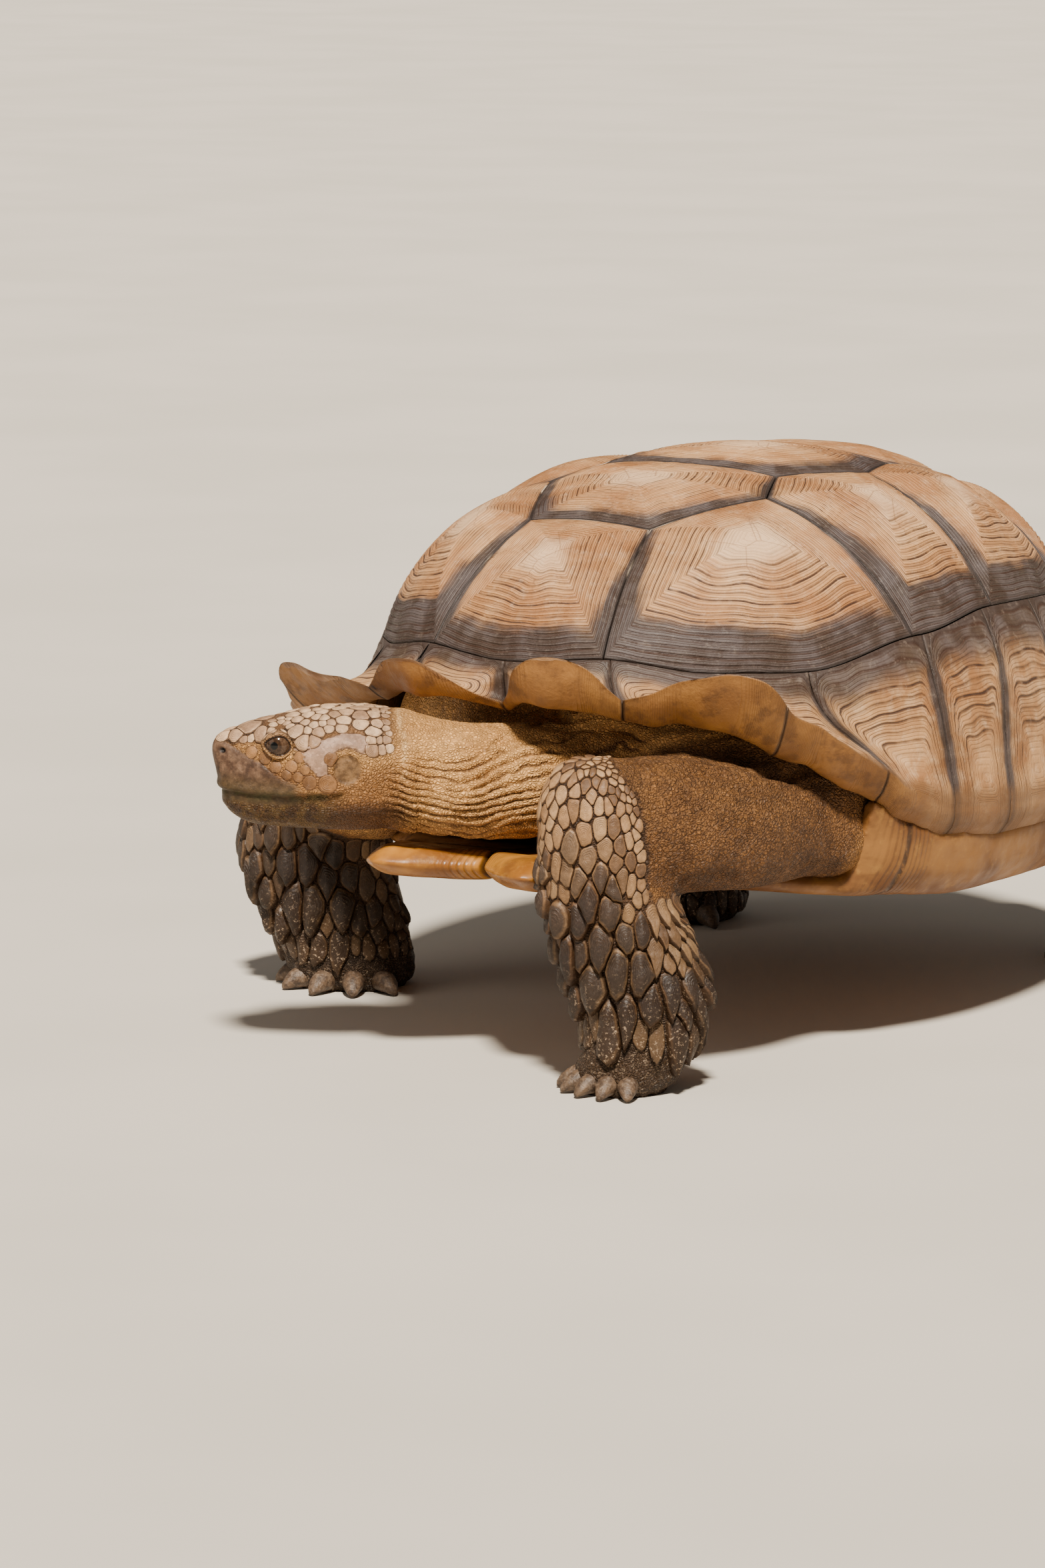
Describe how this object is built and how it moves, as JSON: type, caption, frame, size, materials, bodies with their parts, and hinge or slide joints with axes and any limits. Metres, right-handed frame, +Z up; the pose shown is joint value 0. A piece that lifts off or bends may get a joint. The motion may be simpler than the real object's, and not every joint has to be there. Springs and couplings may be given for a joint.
{
  "type": "tortoise",
  "caption": "Life-size still model of a walking tortoise: domed shell with a curled rim, head turned aside on a stretched neck, stout legs and a short tail",
  "frame": {"origin": "centre of the bounding box's base, on the ground", "axes": "+Z up, head towards -Y, the animal's left side towards +X; the longest extent, snout to tail end of the shell, is along Y"},
  "size_m": [0.5498, 0.731, 0.3888],
  "materials": {
    "shell": "horn, grooved growth rings, dusty satin",
    "rim": "horn, wavy growth rings, dusty satin",
    "under": "horn, worn smooth, satin",
    "skin": "dry, pebbly and scaled, matt",
    "eye": "wet gloss"
  },
  "bodies": {
    "root": {"costal_left_1": "shell", "costal_left_2": "shell", "costal_left_3": "shell", "costal_left_4": "shell", "costal_right_1": "shell", "costal_right_2": "shell", "costal_right_3": "shell", "costal_right_4": "shell", "eye_left": "eye", "eye_right": "eye", "forefoot_left": "skin", "forefoot_right": "skin", "foreleg_left": "skin", "foreleg_right": "skin", "gular_left": "under", "gular_right": "under", "head": "skin", "hindfoot_left": "skin", "hindfoot_right": "skin", "hindleg_left": "skin", "hindleg_right": "skin", "lower_jaw": "skin", "marginal_left_1": "rim", "marginal_left_10": "rim", "marginal_left_11": "rim", "marginal_left_2": "rim", "marginal_left_3": "rim", "marginal_left_4": "rim", "marginal_left_5": "rim", "marginal_left_6": "rim", "marginal_left_7": "rim", "marginal_left_8": "rim", "marginal_left_9": "rim", "marginal_right_1": "rim", "marginal_right_10": "rim", "marginal_right_11": "rim", "marginal_right_2": "rim", "marginal_right_3": "rim", "marginal_right_4": "rim", "marginal_right_5": "rim", "marginal_right_6": "rim", "marginal_right_7": "rim", "marginal_right_8": "rim", "marginal_right_9": "rim", "neck": "skin", "plastron": "under", "supracaudal": "rim", "tail": "skin", "trunk": "skin", "vertebral_1": "shell", "vertebral_2": "shell", "vertebral_3": "shell", "vertebral_4": "shell", "vertebral_5": "shell"}
  },
  "joints": []
}
